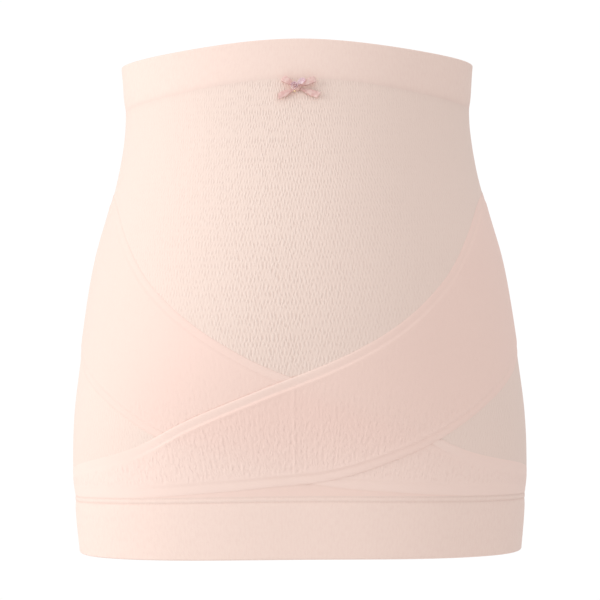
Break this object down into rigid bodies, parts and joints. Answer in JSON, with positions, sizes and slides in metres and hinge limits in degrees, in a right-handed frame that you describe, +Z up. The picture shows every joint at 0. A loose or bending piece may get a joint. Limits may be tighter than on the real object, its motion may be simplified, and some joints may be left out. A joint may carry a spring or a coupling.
{
  "type": "maternity support belt",
  "caption": "Knitted maternity support tube with a folded waistband and hem, crossing belly support bands and a small ribbon bow, in the form that it takes when worn.",
  "frame": {"origin": "on the wearer's axis at the hip line, 58.5 mm above the hem's side edges", "axes": "+Z up along the wearer's trunk, the front faces -Y, +X towards the side where the over band climbs"},
  "size_m": [0.3415, 0.2805, 0.373],
  "materials": {
    "openwork_knit": "fine stretch knit with rows of small slits, cream pink",
    "folded_knit": "smooth fine rib, doubled, pale pink",
    "band_knit": "crinkled upright rib, doubled, pale pink",
    "satin_ribbon": "satin ribbon, dusty pink",
    "rose_ribbon": "satin ribbon, lilac pink",
    "bead_gilt": "polished gilt"
  },
  "bodies": {
    "root": {"waistband": "folded_knit", "tube_body": "openwork_knit", "hem_band": "folded_knit", "cross_band_under": "band_knit", "cross_band_over": "band_knit", "bow_loop_left": "satin_ribbon", "bow_loop_right": "satin_ribbon", "bow_tail_left": "satin_ribbon", "bow_tail_right": "satin_ribbon", "bow_knot": "satin_ribbon", "bow_rosette": "rose_ribbon", "bow_petal": "rose_ribbon", "bow_bead": "bead_gilt"}
  },
  "joints": []
}
